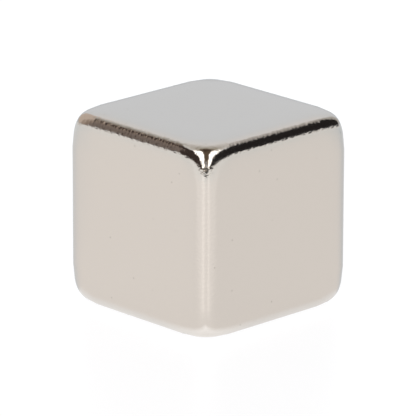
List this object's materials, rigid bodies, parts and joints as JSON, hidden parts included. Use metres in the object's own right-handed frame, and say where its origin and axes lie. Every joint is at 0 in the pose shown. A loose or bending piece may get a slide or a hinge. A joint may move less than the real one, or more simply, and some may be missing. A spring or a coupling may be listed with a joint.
{
  "type": "cube magnet",
  "caption": "Small solid cube magnet with bright nickel-plated flat faces and edges and corners worn round by tumbling.",
  "frame": {"origin": "centre of the lower pole face, on the surface that the magnet stands on", "axes": "+Z along the magnetised axis, from the lower pole face to the upper one; +X and +Y square to the side faces"},
  "size_m": [0.01, 0.01, 0.01],
  "materials": {
    "nickel_plate": "bright electroplated nickel over a tumbled block, mirror-like on the faces and slightly grainy on the rounded edges"
  },
  "bodies": {
    "root": {"cube_magnet": "nickel_plate"}
  },
  "joints": []
}
